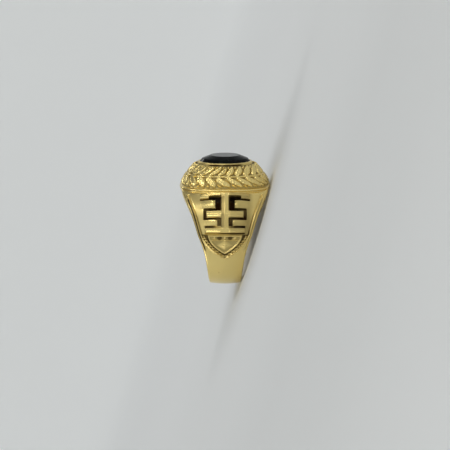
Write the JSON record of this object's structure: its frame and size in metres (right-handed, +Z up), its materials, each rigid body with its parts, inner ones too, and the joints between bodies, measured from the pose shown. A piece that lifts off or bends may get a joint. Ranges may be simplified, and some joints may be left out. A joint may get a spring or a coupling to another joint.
{
  "type": "finger ring with a set stone",
  "caption": "Gold class-style finger ring with an oval black stone, a leaf frieze round the head and a pierced cross panel on each shoulder, lying on its side.",
  "frame": {"origin": "centre of the ring's box on the surface it lies on", "axes": "+X from the back of the shank towards the stone, +Y along the other width of the ring, +Z up, away from the surface"},
  "size_m": [0.0276, 0.0234, 0.0181],
  "materials": {
    "gold": "polished",
    "onyx": "polished"
  },
  "bodies": {
    "root": {"ring_body": "gold", "stone": "onyx"}
  },
  "joints": []
}
